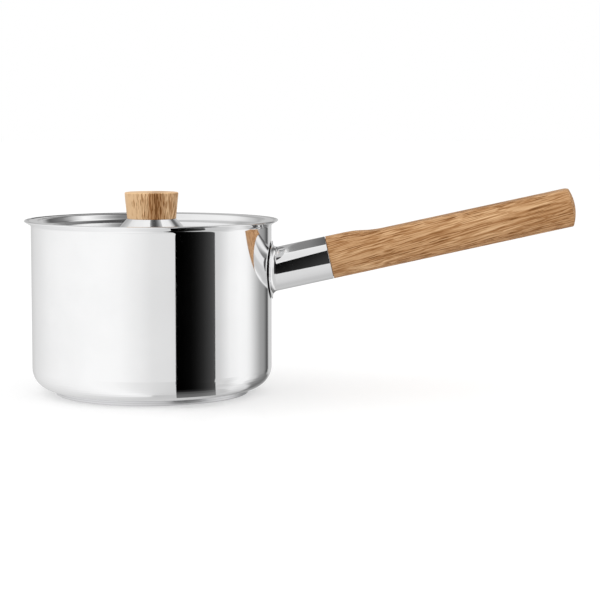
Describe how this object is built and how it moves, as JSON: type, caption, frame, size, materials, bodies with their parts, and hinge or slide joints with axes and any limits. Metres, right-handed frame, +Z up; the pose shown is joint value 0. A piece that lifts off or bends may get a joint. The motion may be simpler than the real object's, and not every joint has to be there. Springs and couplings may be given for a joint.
{
  "type": "saucepan",
  "caption": "Straight-sided steel saucepan with a flared pouring rim, layered base, long wooden handle in a steel ferrule, and a recessed lift-off lid with a wooden knob.",
  "frame": {"origin": "on the pot's axis, at the underside of the base", "axes": "+Z up along the pot's axis, +X from the pot's axis towards the end of the handle, +Y to complete a right-handed frame"},
  "size_m": [0.3719, 0.171, 0.1382],
  "materials": {
    "polished_steel": "mirror-polished stainless steel",
    "satin_steel": "satin-ground stainless steel",
    "aluminium_core": "plain rolled aluminium",
    "oak": "oiled oak",
    "fastener_steel": "plain stainless fasteners",
    "insert_brass": "machined brass",
    "silicone": "dark grey silicone rubber"
  },
  "bodies": {
    "pan": {"pot_shell": "polished_steel", "base_core": "aluminium_core", "base_tray": "satin_steel", "handle_foot": "polished_steel", "handle_ferrule": "polished_steel", "handle_grip": "oak", "handle_bolt": "fastener_steel", "bolt_nut": "fastener_steel", "bolt_lock_washer": "fastener_steel", "grip_insert": "insert_brass"},
    "lid": {"lid_plate": "polished_steel", "knob_collar": "polished_steel", "collar_gasket": "silicone", "lid_knob": "oak", "knob_insert": "insert_brass", "knob_screw": "fastener_steel", "screw_washer": "fastener_steel", "screw_lock_washer": "fastener_steel"}
  },
  "joints": [
    {"name": "lid_lift", "type": "slide", "parent": "pan", "child": "lid", "axis": [0, 0, 1], "range_m": [0, 0.15]}
  ]
}
